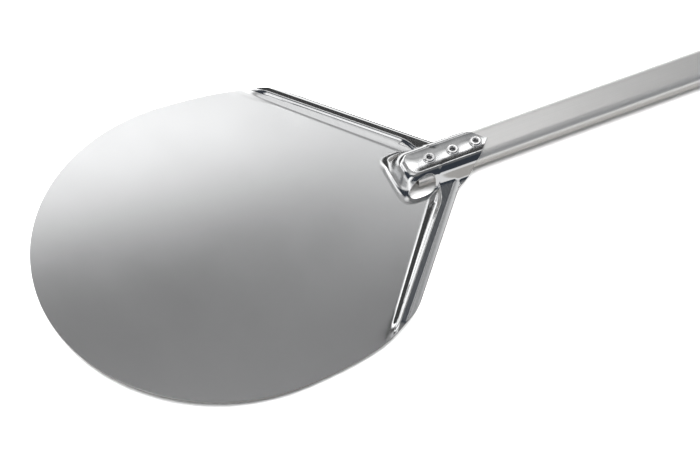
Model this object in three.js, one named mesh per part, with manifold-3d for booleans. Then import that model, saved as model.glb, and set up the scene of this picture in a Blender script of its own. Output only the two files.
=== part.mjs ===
// Small round turning peel for a pizza oven: a pressed stainless head riveted over
// the end of a flat-oval stainless tube, with a sliding hand grip and a fixed end grip.
// Millimetres, +Z up. The origin is the centre of the round head, on its underside.
// +X runs along the handle, away from the head. The peel is mirrored left and right of Y = 0.

import * as THREE from "three";
import { mergeVertices } from "three/addons/utils/BufferGeometryUtils.js";
import Module from "manifold-3d";

const wasm = await Module();
wasm.setup();

// ---------- driving dimensions ----------

// Pressed head
const HEAD_RADIUS = 115;          // round front of the head
const SHEET = 1.0;                // thickness of the stainless sheet
const EDGE_TILT = THREE.MathUtils.degToRad(40.6); // normal of each straight edge, from +X
const EDGE_DISTANCE = 124.5;      // straight edge to the head's centre
const EDGE_START_X = 90;          // where the flared side becomes the straight edge
const ARC_END_ANGLE = THREE.MathUtils.degToRad(86); // where the round front ends
const FLARE_REACH = [35, 28];     // how long the flare follows the round and the edge
const TONGUE_ROOT_X = 147.2;      // where the straight edge turns into the tongue
const TONGUE_SHOULDER = [165.4, 11]; // corner of the tongue's V end
const TONGUE_TIP_X = 175.3;       // point of the V end

// Stiffening rib along each straight edge, measured square to that edge
const BEAD_HEIGHT = 1.25;         // long gentle step inside the rim
const BEAD_FOOT = 111.5;          // inner foot of the bead, at its middle
const BEAD_FOOT_TAPER = -0.028;   // the bead widens towards the neck
const BEAD_WALL = 3.7;            // run of the bead's inner wall
const RIM_HEIGHT = 2.7;           // rim outside the bead
const RIM_FALL = 0.45;            // its top falls this much towards its crest
const RIM_START = 115.2;
const RIM_WALL = 2.2;
const RIM_CREST = 120.4;          // crease where the outer flank starts down
const RIM_CREST_TAPER = 0.005;
const RIB_LIP = 124.2;            // flat lip outside the flank
const RIM_SPREAD = 5;             // past the bead, the rim widens inwards to the hood
const RIM_SPREAD_AT = [64, 82];
const RIB_RAMP = [-41, -27];      // the rib rises here, along the edge
const BEAD_END = 77;            // the bead ends here, short of the neck
const BEAD_END_RADIUS = 4;        // rounding of that end in plan
const RIM_END = [84, 93];         // the rim ends here, at the tongue

// Neck hood drawn up over the tube
const TUBE_WIDTH = 24;
const TUBE_HEIGHT = 10;
const TUBE_CORNER = [5.6, 4.6];   // corner's reach across and down
const TUBE_WALL = 1.2;
const TUBE_FLOOR_Z = 0.7;         // underside of the tube
const TUBE_AXIS_Z = TUBE_FLOOR_Z + TUBE_HEIGHT / 2;
const TUBE_TOP_Z = TUBE_FLOOR_Z + TUBE_HEIGHT;
const GAP = 0.3;                  // clearance kept between touching pieces
const HOOD_TOP = TUBE_TOP_Z + GAP; // rise of the hood above the flat sheet
const HOOD_FLAT = 7.2;            // half width of its flat top
const HOOD_BEND = 6.2;            // outer bend over the tube's corner
const HOOD_CORNER = 0.35;         // plan rounding of the flat top, as a share of a wall's run
const HOOD_FRONT_BEND = 7;
const HOOD_FRONT_FILLET = 6.8;
const HOOD_FRONT_TOP_X = 121.5;   // front end of the flat top
const HOOD_FRONT_RUN = 12;        // length of the sloping front wall
const HOOD_TAPER_X = [125, 150];  // the side walls draw in over this stretch
const HOOD_SIDE_RUN = [14, 10.5]; // run of a side wall before and after it
const HOOD_FILLET = [6, 3];       // fillet at the wall's foot before and after it
const HOOD_CORNER_POWERS = [2, 5]; // round at the top, nearly square at the foot
const HOOD_MESH_START = [100, 104]; // the flat sheet's facets turn to the hood's here

// Blind rivets
const RIVET_X = [136.2, 151.8, 167.4]; // along the neck
const RIVET_HEAD_RADIUS = 4;
const RIVET_HEAD_HEIGHT = 1.3;
const RIVET_SHANK_RADIUS = 2.4;
const RIVET_BORE_RADIUS = 1.45;
const RIVET_BULB_RADIUS = 3.4;
const RIVET_BULB_LENGTH = 3.2;
const RIVET_SEGMENTS = 20;
const MANDREL_RADIUS = RIVET_BORE_RADIUS - GAP;
const MANDREL_HEAD_RADIUS = 1.95;
const MANDREL_SEGMENTS = 14;

// Handle
const TUBE_START_X = 124;
const TUBE_LENGTH = 750;
const TUBE_END_X = TUBE_START_X + TUBE_LENGTH;

// Sliding grip
const SLIDER_START_X = 410;
const SLIDER_LENGTH = 130;
const SLIDER_CLEARANCE = 0.4;

// Fixed end grip with its hanging eye
const END_GRIP_START_X = 764;
const END_GRIP_LENGTH = 146;
const EYE_X = 895;
const EYE_RADIUS = 5;
const END_RIVET_X = 852;
const END_RIVET_SINK = 2.2;       // depth of the rivet's seat below the grip's surface

// Grip sections: half width and half height
const GRIP_WAIST = [14.5, 8.5];
const GRIP_FLARE = [17, 11];
const GRIP_SQUARENESS = 2.7;      // superellipse power of a section

// ---------- materials ----------

const metal = (color, roughness) =>
  new THREE.MeshStandardMaterial({ color, roughness, metalness: 1 });
const brushedSteel = metal("#b9bcbe", 0.32);
const satinSteel = metal("#bdbab5", 0.45);
const rivetSteel = metal("#d8d9da", 0.22);
const mandrelSteel = metal("#77787a", 0.5);
const blackPolymer = new THREE.MeshStandardMaterial({
  color: "#1d1e20",
  roughness: 0.6,
  metalness: 0,
});

// ---------- solid helpers ----------

function toSolid(geometry) {
  const bare = geometry.clone();
  bare.deleteAttribute("normal");
  bare.deleteAttribute("uv");
  const merged = mergeVertices(bare, 1e-4);
  const corner = merged.index.array;
  const kept = [];
  for (let i = 0; i < corner.length; i += 3) {
    const [a, b, c] = [corner[i], corner[i + 1], corner[i + 2]];
    if (a !== b && b !== c && c !== a) kept.push(a, b, c);
  }
  return new wasm.Manifold(new wasm.Mesh({
    numProp: 3,
    vertProperties: new Float32Array(merged.attributes.position.array),
    triVerts: new Uint32Array(kept),
  }));
}

function toGeometry(solid) {
  const mesh = solid.getMesh();
  const geometry = new THREE.BufferGeometry();
  geometry.setAttribute("position", new THREE.BufferAttribute(mesh.vertProperties, 3));
  geometry.setIndex(new THREE.BufferAttribute(mesh.triVerts, 1));
  return geometry;
}

function cut(geometry, tools) {
  let solid = toSolid(geometry);
  for (const tool of tools) solid = solid.subtract(toSolid(tool));
  return toGeometry(solid);
}

// Moves every vertex of a closed geometry to the place that a rule gives for it.
function reshape(geometry, rule) {
  const position = geometry.attributes.position;
  for (let i = 0; i < position.count; i += 1) {
    position.setXYZ(i, ...rule(position.getX(i), position.getY(i), position.getZ(i)));
  }
  return geometry;
}

// The tube's outer section grown by a margin, which is negative for its bore.
function flatOval(margin) {
  const [across, down] = TUBE_CORNER.map((reach) => reach + margin);
  const x = TUBE_WIDTH / 2 + margin - across;
  const y = TUBE_HEIGHT / 2 + margin - down;
  const quarter = Math.PI / 2;
  const shape = new THREE.Shape();
  shape.absellipse(x, y, across, down, 0, quarter);
  shape.absellipse(-x, y, across, down, quarter, 2 * quarter);
  shape.absellipse(-x, -y, across, down, 2 * quarter, 3 * quarter);
  shape.absellipse(x, -y, across, down, 3 * quarter, 4 * quarter);
  shape.closePath();
  return shape;
}

// A bar along +X with the given section: the section's x is the row's Y, its y is Z.
function barAlongX(section, startX, length, curveSegments = 5) {
  const bar = new THREE.ExtrudeGeometry(section, {
    depth: length,
    bevelEnabled: false,
    curveSegments,
  });
  bar.rotateX(Math.PI / 2);
  bar.rotateZ(Math.PI / 2);
  return bar.translate(startX, 0, TUBE_AXIS_Z);
}

// A round tool along Z, used for holes.
function drill(radius, x, lowZ, highZ, segments = 20) {
  const tool = new THREE.CylinderGeometry(radius, radius, highZ - lowZ, segments);
  tool.rotateX(Math.PI / 2);
  return tool.translate(x, 0, (lowZ + highZ) / 2);
}

// ---------- the pressed head ----------

const clamp01 = (value) => Math.min(1, Math.max(0, value));
const mix = (a, b, share) => a + (b - a) * share;
const linearStep = (value, [from, to]) => clamp01((value - from) / (to - from));

function smoothStep(value, span) {
  const t = linearStep(value, span);
  return t * t * (3 - 2 * t);
}

// Distance inside the bead's outline, from the distances to its long side and to its end.
function insideBead(fromSide, fromEnd) {
  const [u, v] = [BEAD_END_RADIUS - fromSide, BEAD_END_RADIUS - fromEnd];
  return u > 0 && v > 0 ? BEAD_END_RADIUS - Math.hypot(u, v) : Math.min(fromSide, fromEnd);
}

// Height of the stiffening rib above the flat sheet.
function ribHeight(x, y) {
  const across = x * Math.cos(EDGE_TILT) + Math.abs(y) * Math.sin(EDGE_TILT);
  const along = x * Math.sin(EDGE_TILT) - Math.abs(y) * Math.cos(EDGE_TILT);
  const foot = BEAD_FOOT + BEAD_FOOT_TAPER * along;
  const crest = RIM_CREST + RIM_CREST_TAPER * along;
  const bead = BEAD_HEIGHT * linearStep(insideBead(across - foot, BEAD_END - along), [0, BEAD_WALL]);
  const rimStart = RIM_START - RIM_SPREAD * smoothStep(along, RIM_SPREAD_AT);
  const rimSide = RIM_START + RIM_WALL;
  const rimTop = RIM_HEIGHT - RIM_FALL * Math.min(1, (across - rimSide) / (crest - rimSide));
  const top = mix(bead, rimTop, linearStep(across, [rimStart, rimStart + RIM_WALL]));
  const flank = 1 - linearStep(across, [crest, RIB_LIP]);
  const ends = smoothStep(along, RIB_RAMP) * (1 - smoothStep(along, RIM_END));
  return top * flank * ends;
}

// Height of a wall that bends down over the tube's corner, falls straight and
// flares out at its foot, at a distance from the edge of the hood's flat top.
function wallHeight(distance, run, bend, fillet) {
  if (distance <= 0) return HOOD_TOP;
  if (distance >= run) return 0;
  const rise = HOOD_TOP - bend - fillet;
  const slope = Math.atan2(rise, run) + Math.asin((bend + fillet) / Math.hypot(run, rise));
  const bendRun = bend * Math.sin(slope);
  if (distance < bendRun) {
    return HOOD_TOP - bend + Math.sqrt(bend ** 2 - distance ** 2);
  }
  const fromFoot = run - distance;
  if (fromFoot < fillet * Math.sin(slope)) {
    return fillet - Math.sqrt(fillet ** 2 - fromFoot ** 2);
  }
  const bendDrop = bend * (1 - Math.cos(slope));
  return HOOD_TOP - bendDrop - (distance - bendRun) * Math.tan(slope);
}

const hoodRun = (x) => mix(...HOOD_SIDE_RUN, linearStep(x, HOOD_TAPER_X));

// Height of the neck hood above the flat sheet.
function hoodHeight(x, y) {
  const run = hoodRun(x);
  const fillet = mix(...HOOD_FILLET, linearStep(x, HOOD_TAPER_X));
  const ahead = Math.max(0, (HOOD_FRONT_TOP_X - x) / HOOD_FRONT_RUN + HOOD_CORNER);
  const beside = Math.max(0, (Math.abs(y) - HOOD_FLAT) / run + HOOD_CORNER);
  const [round, square] = HOOD_CORNER_POWERS.map((power) => (
    (ahead ** power + beside ** power) ** (1 / power) - HOOD_CORNER
  ));
  const distance = mix(round, square, smoothStep(square, [0, 1]));
  const side = wallHeight(distance * run, run, HOOD_BEND, fillet);
  if (ahead === 0) return side;
  const [frontRun] = HOOD_SIDE_RUN;
  const front = wallHeight(distance * frontRun, frontRun, HOOD_FRONT_BEND, HOOD_FRONT_FILLET);
  const share = smoothStep(ahead ** 2 / (ahead ** 2 + beside ** 2), [0.2, 0.8]);
  return mix(side, front, share);
}

// Where the hood and a rib run together the higher one carries the sheet.
function sheetHeight(x, y) {
  const power = 2.5;
  return (hoodHeight(x, y) ** power + ribHeight(x, y) ** power) ** (1 / power);
}

function hoodNormal(x, y) {
  const step = 0.05;
  const slopeX = (hoodHeight(x + step, y) - hoodHeight(x - step, y)) / (2 * step);
  const slopeY = (hoodHeight(x, y + step) - hoodHeight(x, y - step)) / (2 * step);
  return new THREE.Vector3(-slopeX, -slopeY, 1).normalize();
}

const edgeHalfWidth = (x) => (EDGE_DISTANCE - x * Math.cos(EDGE_TILT)) / Math.sin(EDGE_TILT);

// Half of the blank's outline, from the front of the head to the tip of the tongue.
function halfOutline() {
  const arcSteps = 26;
  const sideSteps = 10;
  const edgeRowSpacing = 4;
  const neckRowSpacing = 2.2;
  const points = [];
  for (let i = 0; i < arcSteps; i += 1) {
    const angle = mix(Math.PI, ARC_END_ANGLE, i / arcSteps);
    points.push([HEAD_RADIUS * Math.cos(angle), HEAD_RADIUS * Math.sin(angle)]);
  }
  const arcEnd = new THREE.Vector2(Math.cos(ARC_END_ANGLE), Math.sin(ARC_END_ANGLE))
    .multiplyScalar(HEAD_RADIUS);
  const edgeStart = new THREE.Vector2(EDGE_START_X, edgeHalfWidth(EDGE_START_X));
  const arcDirection = new THREE.Vector2(Math.sin(ARC_END_ANGLE), -Math.cos(ARC_END_ANGLE));
  const edgeDirection = new THREE.Vector2(Math.sin(EDGE_TILT), -Math.cos(EDGE_TILT));
  const flare = new THREE.CubicBezierCurve(
    arcEnd,
    arcEnd.clone().addScaledVector(arcDirection, FLARE_REACH[0]),
    edgeStart.clone().addScaledVector(edgeDirection, -FLARE_REACH[1]),
    edgeStart,
  );
  for (const point of flare.getPoints(sideSteps)) points.push([point.x, point.y]);
  const neckRowsFrom = HOOD_FRONT_TOP_X - HOOD_FRONT_RUN;
  let x = EDGE_START_X;
  while (x < TONGUE_ROOT_X) {
    x += x < neckRowsFrom - edgeRowSpacing ? edgeRowSpacing : neckRowSpacing;
    points.push([Math.min(x, TONGUE_ROOT_X), edgeHalfWidth(Math.min(x, TONGUE_ROOT_X))]);
  }
  const [shoulderX, shoulderY] = TONGUE_SHOULDER;
  const sideRows = Math.round((shoulderX - TONGUE_ROOT_X) / neckRowSpacing);
  const rootY = edgeHalfWidth(TONGUE_ROOT_X);
  for (let i = 1; i <= sideRows; i += 1) {
    points.push([mix(TONGUE_ROOT_X, shoulderX, i / sideRows), mix(rootY, shoulderY, i / sideRows)]);
  }
  const tipRows = 5;
  for (let i = 1; i <= tipRows; i += 1) {
    points.push([mix(shoulderX, TONGUE_TIP_X, i / tipRows), mix(shoulderY, 0, i / tipRows)]);
  }
  return points;
}

// Distances from the centre line at which a row of the sheet's facets has its corners:
// along the hood's bends, along the rib's bends, and on the outline.
function rowStations(x, halfWidth) {
  const hoodShares = [0, 0.1, 0.2, 0.3, 0.4, 0.62, 0.78, 0.9, 1];
  const hoodReach = smoothStep(x, HOOD_MESH_START);
  const hood = hoodShares.map((share) => (HOOD_FLAT + share * hoodRun(x)) * hoodReach);
  const [sine, cosine] = [Math.sin(EDGE_TILT), Math.cos(EDGE_TILT)];
  const ribLine = (across, taper) => (
    (across + x * (taper * sine - cosine)) / (sine + taper * cosine)
  );
  const rib = [
    ribLine(BEAD_FOOT, BEAD_FOOT_TAPER),
    ribLine(BEAD_FOOT + BEAD_WALL / 2, BEAD_FOOT_TAPER),
    ribLine(RIM_START, 0),
    ribLine(RIM_START + RIM_WALL, 0),
    ribLine(RIM_CREST, RIM_CREST_TAPER),
    ribLine(RIB_LIP, 0),
  ];
  const hoodFoot = hood[hood.length - 1];
  const outer = rib.map((y) => Math.max(y, hoodFoot));
  return [0, ...hood, ...outer, halfWidth].map((y) => Math.min(y, halfWidth));
}

// Openings in the hood's side walls: straight along the bend, round at the foot.
function sideWindow(side) {
  const shape = new THREE.Shape();
  shape.moveTo(118.4, 12.4);
  shape.lineTo(129.5, 10.5);
  shape.quadraticCurveTo(135.6, 10.6, 133.6, 14.8);
  shape.quadraticCurveTo(131.4, 18.2, 122.5, 18.1);
  shape.quadraticCurveTo(116.4, 18.1, 116.3, 15.2);
  shape.quadraticCurveTo(116.2, 12.8, 118.4, 12.4);
  const tool = new THREE.ExtrudeGeometry(shape, {
    depth: 2 * HOOD_TOP,
    bevelEnabled: false,
    curveSegments: 7,
  });
  if (side < 0) tool.rotateX(Math.PI).translate(0, 0, 2 * HOOD_TOP);
  return tool.translate(0, 0, -HOOD_TOP / 2);
}

function bladeGeometry() {
  const outline = halfOutline();
  const rows = outline.length - 1;
  const stations = outline.map(([x, halfWidth]) => rowStations(x, halfWidth));
  const columns = stations[0].length - 1;
  const slab = new THREE.BoxGeometry(rows, 2 * columns, 1, rows, 2 * columns, 1);
  reshape(slab, (u, v, w) => {
    const row = Math.round(u + rows / 2);
    const column = Math.round(v);
    const x = outline[row][0];
    const y = Math.sign(column) * stations[row][Math.abs(column)];
    const top = new THREE.Vector3(x, y, SHEET + sheetHeight(x, y));
    return w > 0 ? top : top.addScaledVector(hoodNormal(x, y), -SHEET);
  });
  const rivetHoles = RIVET_X.map((x) => drill(RIVET_SHANK_RADIUS + GAP, x, 5, 20));
  return cut(slab, [sideWindow(1), sideWindow(-1), ...rivetHoles]);
}

// ---------- handle tube ----------

function tubeGeometry() {
  const section = flatOval(0);
  section.holes.push(flatOval(-TUBE_WALL));
  const tube = barAlongX(section, TUBE_START_X, TUBE_LENGTH);
  const holes = [...RIVET_X, END_RIVET_X].map((x) => (
    drill(RIVET_SHANK_RADIUS + GAP, x, TUBE_AXIS_Z, TUBE_TOP_Z + 1)
  ));
  return cut(tube, holes);
}

// ---------- blind rivets ----------

// Sleeve with its seat at z = 0: domed head above, shank and swelled end below.
function rivetGeometry(grip) {
  const bulbTop = -grip;
  const bulbBottom = bulbTop - RIVET_BULB_LENGTH;
  const profile = [
    [RIVET_BORE_RADIUS, bulbBottom],
    [RIVET_BULB_RADIUS - 0.7, bulbBottom],
    [RIVET_BULB_RADIUS, bulbBottom + 1.1],
    [RIVET_BULB_RADIUS - 0.4, bulbTop - 0.4],
    [RIVET_SHANK_RADIUS, bulbTop],
    [RIVET_SHANK_RADIUS, 0],
    [RIVET_HEAD_RADIUS - 0.2, 0],
    [RIVET_HEAD_RADIUS, 0.35],
    [RIVET_HEAD_RADIUS - 0.9, RIVET_HEAD_HEIGHT - 0.2],
    [RIVET_HEAD_RADIUS - 1.6, RIVET_HEAD_HEIGHT],
    [RIVET_BORE_RADIUS, RIVET_HEAD_HEIGHT - 0.25],
    [RIVET_BORE_RADIUS, bulbBottom],
  ];
  return lathe(profile, RIVET_SEGMENTS);
}

// Broken mandrel left in the sleeve, with its round head under the swelled end.
function mandrelGeometry(grip) {
  const sleeveEnd = -grip - RIVET_BULB_LENGTH - GAP;
  const profile = [
    [0, sleeveEnd - 1.5],
    [MANDREL_HEAD_RADIUS * 0.6, sleeveEnd - 1.4],
    [MANDREL_HEAD_RADIUS, sleeveEnd - 0.8],
    [MANDREL_HEAD_RADIUS, sleeveEnd],
    [MANDREL_RADIUS, sleeveEnd],
    [MANDREL_RADIUS, -0.6],
    [MANDREL_RADIUS * 0.6, -0.3],
    [0, -0.25],
  ];
  return lathe(profile, MANDREL_SEGMENTS);
}

function lathe(profile, segments) {
  const points = profile.map(([radius, z]) => new THREE.Vector2(radius, z));
  return new THREE.LatheGeometry(points, segments).rotateX(Math.PI / 2);
}

// ---------- grips ----------

// A closed grip body along X: a cylinder whose sections become superellipses.
function gripBody(startX, length, stations) {
  const around = 32;
  const body = new THREE.CylinderGeometry(1, 1, 1, around, stations.length - 1);
  return reshape(body, (a, height, b) => {
    const index = Math.round((height + 0.5) * (stations.length - 1));
    const [share, halfWidth, halfHeight] = stations[index];
    const radius = Math.hypot(a, b);
    const power = 2 / GRIP_SQUARENESS;
    const y = radius * Math.sign(b) * Math.abs(b / (radius || 1)) ** power * halfWidth;
    const z = radius * Math.sign(a) * Math.abs(a / (radius || 1)) ** power * halfHeight;
    return [startX + share * length, y, TUBE_AXIS_Z + z];
  });
}

// Half sizes at a share of the way from the waist to the flared end.
const gripHalf = (share) => [
  mix(GRIP_WAIST[0], GRIP_FLARE[0], share),
  mix(GRIP_WAIST[1], GRIP_FLARE[1], share),
];

function sliderGeometry() {
  const stations = [
    [0, ...gripHalf(0.72)],
    [0.012, ...gripHalf(0.95)],
    [0.035, ...gripHalf(1)],
    [0.065, ...gripHalf(0.85)],
    [0.12, ...gripHalf(0.3)],
    [0.2, ...gripHalf(0)],
    [0.5, ...gripHalf(0.2)],
    [0.8, ...gripHalf(0)],
    [0.88, ...gripHalf(0.3)],
    [0.935, ...gripHalf(0.85)],
    [0.965, ...gripHalf(1)],
    [0.988, ...gripHalf(0.95)],
    [1, ...gripHalf(0.72)],
  ];
  const body = gripBody(SLIDER_START_X, SLIDER_LENGTH, stations);
  const bore = flatOval(SLIDER_CLEARANCE);
  return cut(body, [barAlongX(bore, SLIDER_START_X - 5, SLIDER_LENGTH + 10)]);
}

function endGripGeometry() {
  const stations = [
    [0, ...gripHalf(0.72)],
    [0.01, ...gripHalf(0.95)],
    [0.03, ...gripHalf(1)],
    [0.055, ...gripHalf(0.85)],
    [0.1, ...gripHalf(0.3)],
    [0.17, ...gripHalf(0)],
    [0.42, ...gripHalf(0.2)],
    [0.66, ...gripHalf(0)],
    [0.76, ...gripHalf(0.3)],
    [0.84, ...gripHalf(0.9)],
    [0.9, ...gripHalf(1)],
    [0.95, 14.8, 9.6],
    [0.985, 10.5, 7.4],
    [1, 6, 5],
  ];
  const body = gripBody(END_GRIP_START_X, END_GRIP_LENGTH, stations);
  const bore = flatOval(GAP);
  const socketStart = END_GRIP_START_X - 5;
  return cut(body, [
    barAlongX(bore, socketStart, TUBE_END_X + GAP - socketStart),
    drill(EYE_RADIUS, EYE_X, -30, 30, 24),
    drill(RIVET_SHANK_RADIUS + GAP, END_RIVET_X, TUBE_AXIS_Z, 30),
    drill(RIVET_HEAD_RADIUS + 0.6, END_RIVET_X, endRivetSeat(), 30),
  ]);
}

// The end rivet's head is sunk into the waist of the end grip.
function endRivetSeat() {
  return TUBE_AXIS_Z + GRIP_WAIST[1] - END_RIVET_SINK + GAP;
}

// ---------- assembly ----------

function named(name, geometry, material) {
  const mesh = new THREE.Mesh(geometry, material);
  mesh.name = name;
  return mesh;
}

// A rivet sleeve and its mandrel, with the seat of the head at a given place.
function rivetPair(name, x, seatZ, grip) {
  const pair = new THREE.Group();
  pair.add(named(name, rivetGeometry(grip), rivetSteel));
  pair.add(named(`${name}_mandrel`, mandrelGeometry(grip), mandrelSteel));
  pair.position.set(x, 0, seatZ);
  return pair;
}

const peel = new THREE.Group();
peel.add(named("blade", bladeGeometry(), brushedSteel));
peel.add(named("handle_tube", tubeGeometry(), satinSteel));

const insideTubeTop = TUBE_TOP_Z - TUBE_WALL - GAP;
const neckSeat = SHEET + HOOD_TOP + GAP;
["front", "middle", "rear"].forEach((place, i) => {
  peel.add(rivetPair(`neck_rivet_${place}`, RIVET_X[i], neckSeat, neckSeat - insideTubeTop));
});

peel.add(named("sliding_grip", sliderGeometry(), blackPolymer));
peel.add(named("end_grip", endGripGeometry(), blackPolymer));
const endSeat = endRivetSeat() + GAP;
peel.add(rivetPair("end_grip_rivet", END_RIVET_X, endSeat, endSeat - insideTubeTop));

export default peel;
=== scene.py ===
"""Round pressed-steel pizza turning peel on a flat-oval tube handle.

Metres, +Z up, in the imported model's frame: the origin is the centre of the round head on its
underside, and +X runs along the handle. Shapes are worked out in millimetres and scaled once.
"""

import math

import bpy
import numpy as np
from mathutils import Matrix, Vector
from mathutils.geometry import delaunay_2d_cdt


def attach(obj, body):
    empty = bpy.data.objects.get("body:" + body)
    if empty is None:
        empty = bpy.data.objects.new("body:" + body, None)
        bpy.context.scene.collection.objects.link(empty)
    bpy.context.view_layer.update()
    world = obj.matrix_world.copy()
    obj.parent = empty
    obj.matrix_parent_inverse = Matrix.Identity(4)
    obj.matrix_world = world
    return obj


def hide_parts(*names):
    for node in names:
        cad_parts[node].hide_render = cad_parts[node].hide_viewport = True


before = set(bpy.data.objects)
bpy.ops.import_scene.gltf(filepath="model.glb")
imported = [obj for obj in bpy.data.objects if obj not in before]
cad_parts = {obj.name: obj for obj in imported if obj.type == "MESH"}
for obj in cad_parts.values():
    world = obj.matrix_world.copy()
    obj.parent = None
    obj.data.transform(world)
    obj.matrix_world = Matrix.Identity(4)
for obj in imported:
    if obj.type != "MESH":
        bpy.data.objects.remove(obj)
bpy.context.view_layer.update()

MM = 0.001

# ---------- dimensions, in millimetres ----------

# the blank
HEAD_RADIUS = 115.0
SHEET = 1.0
EDGE_TILT = math.radians(40.6)    # way square to a straight rear edge, from +X
EDGE_DISTANCE = 124.5             # from the head's centre to a straight rear edge
EDGE_START_X = 90.0               # where the straight edge begins
ARC_END_ANGLE = math.radians(86)  # where the round front ends
FLARE_REACH = (35.0, 28.0)        # pull of the curve between the two, at either end
TONGUE_ROOT_X = 147.2             # where the straight edge turns into the tongue
TONGUE_SHOULDER = (165.4, 11.0)   # corner of the tongue's V end
TONGUE_TIP_X = 175.3
CUT_EDGE_RADIUS = 0.22
WINDOW_START = (118.4, 12.4)      # the side window: a straight edge beside the hood,
WINDOW_EDGE_END = (129.5, 10.5)   # then curves, each with its control point and its end
WINDOW_CURVES = [
    ((135.6, 10.6), (133.6, 14.8)), ((131.4, 18.2), (122.5, 18.1)),
    ((116.4, 18.1), (116.3, 15.2)), ((116.2, 12.8), WINDOW_START),
]

# the ribs: "across" is the distance from the head's centre square to the rear edge, and
# "along" the distance beside that edge, growing towards the neck
BEAD_FOOT = 111.5                # foot of the low inner step
BEAD_FOOT_TAPER = -0.028         # how its foot shifts, per millimetre along
BEAD_HEIGHT = 1.25
BEAD_WALL = 3.7
BEAD_END = 77.0                  # neck end of the step, along
BEAD_END_RADIUS = 4.0
RIM_START = 115.2                # foot of the high outer step
RIM_WALL = 2.2
RIM_HEIGHT = 2.7
RIM_FALL = 0.45                  # fall of the rim's top towards its crest
RIM_CREST = 120.4                # where the top ends and the outer flank begins
RIM_CREST_TAPER = 0.005
RIM_SPREAD = 5.0                 # how far the outer step reaches further in at the neck
RIM_SPREAD_AT = (64.0, 82.0)
RIM_END = (84.0, 93.0)           # where the rib dies out at the neck
RIB_LIP = 124.2                  # foot of the outer flank
FLANK_CURL = 1.2                 # power by which the flank steepens towards its foot
FLANK_SOFTNESS = 0.06
RIB_RAMP = (-41.0, -27.0)        # where the rib rises out of the head
RIB_LEAD = (0.17, 0.27)          # slight rise before the foot: beside the rib, at its start
RIB_LEAD_RUN = (1.3, 6.0)        # width of that rise, likewise
RIB_LEAD_WIDE = (-45.0, -15.0)   # where the rise narrows from the start's width
RIB_LEAD_START = (-56.0, -40.0)  # where it grows out of the flat

TUBE_WIDTH = 24.0
TUBE_HEIGHT = 10.0
TUBE_CORNER = (5.6, 4.6)  # reach of the section's corner curves, across and down
TUBE_WALL = 1.2
TUBE_RIM = 0.25           # rounding of the tube's sawn ends
TUBE_FLOOR_Z = 0.7        # underside of the tube above the head's underside
TUBE_START_X = 124.0
TUBE_LENGTH = 750.0
TUBE_END_X = TUBE_START_X + TUBE_LENGTH
TUBE_AXIS_Z = TUBE_FLOOR_Z + TUBE_HEIGHT / 2
TUBE_TOP_Z = TUBE_FLOOR_Z + TUBE_HEIGHT
GAP = 0.3                 # clearance between touching pieces

HOOD_DISH = 0.3                    # how far the hood's top is dished along the rivets
HOOD_DISH_X = (119.0, 128.0)       # where the dish begins
HOOD_LIP_Y = 8.0                   # the dish's raised lip beside the rivets
HOOD_LIP_FADE = 3.5
HOOD_DROOP = 0.36                  # how far the top drops towards the tip of the tongue
HOOD_DROOP_X = (154.0, 182.0)
HOOD_TOP = TUBE_TOP_Z + GAP + HOOD_DISH
HOOD_FLAT = 7.2                    # half width of the hood's top
HOOD_BEND = 6.2                    # radius of the bend beside it
HOOD_CORNER = 0.35                 # rounding of the front corners in plan, as a share of the run
HOOD_CORNER_POWERS = (2.0, 5.0)    # shape of those corners at the top and at the foot
HOOD_SIDE_RUN = (14.0, 10.5)       # width of the side wall, in front and behind
HOOD_TAPER_X = (125.0, 150.0)      # where it goes from one to the other
HOOD_FILLET = (6.0, 3.0)           # radius at the side wall's foot, in front and behind
HOOD_FRONT_TOP_X = 121.5           # where the top bends down into the front wall
HOOD_FRONT_RUN = 12.0
HOOD_FRONT_BEND = 7.0
HOOD_FRONT_FILLET = 6.8
HOOD_FRONT_END_X = (124.0, 130.0)  # where the front's bends give way to the sides'
UNION_POWER = 2.5                  # how softly the hood and the ribs run together

RIVET_X = (136.2, 151.8, 167.4)
RIVET_HEAD_RADIUS = 4.0
RIVET_HEAD_HEIGHT = 1.3
RIVET_SHANK_RADIUS = 2.4
RIVET_BORE_RADIUS = 1.45
RIVET_BULB_RADIUS = 3.4  # swelling of the sleeve behind the sheet
RIVET_BULB_LENGTH = 3.2
RIVET_DIMPLE = 0.10      # how far each neck rivet pulls the sheet down round it
RIVET_DIMPLE_REACH = 5.0
RIVET_SINK = 0.12        # how far a neck rivet's head sits below the dished sheet
MANDREL_RADIUS = RIVET_BORE_RADIUS - 0.06
MANDREL_HEAD_RADIUS = 1.95
NECK_SEAT_Z = SHEET + HOOD_TOP
INSIDE_TUBE_TOP = TUBE_TOP_Z - TUBE_WALL

SLIDER_START_X = 410.0
SLIDER_LENGTH = 130.0
SLIDER_CLEARANCE = 0.4
SLIDER_MOUTH = 0.5         # chamfer at both ends of the slider's bore
END_GRIP_START_X = 764.0
END_GRIP_LENGTH = 146.0
EYE_X = 895.0
EYE_RADIUS = 5.0
EYE_LIP = 2.2              # rounding of its mouths
END_RIVET_X = 852.0
END_RIVET_SINK = 2.2
SEAT_CLEARANCE = 0.6
GRIP_WAIST = (14.5, 8.5)   # half width and half height where a grip is slimmest
GRIP_FLARE = (17.0, 11.0)  # and at its thickest
GRIP_SQUARENESS = 2.7      # power of the grips' rounded-square section
GROOVE = (6.0, 3.2, 0.75)  # pitch, width and depth of the finger grooves

# ---------- camera ----------

CAMERA_AZIMUTH = -24.75  # degrees, from -Y towards +X
CAMERA_ELEVATION = 51.8
CAMERA_AIM = Vector((0.0720, -0.0245, 0.001))  # metres
CAMERA_DISTANCE = 1.6737
CAMERA_LENS = 144.0
CAMERA_SENSOR = 36.0


def sine(degrees):
    return math.sin(math.radians(degrees))


def cosine(degrees):
    return math.cos(math.radians(degrees))


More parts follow.
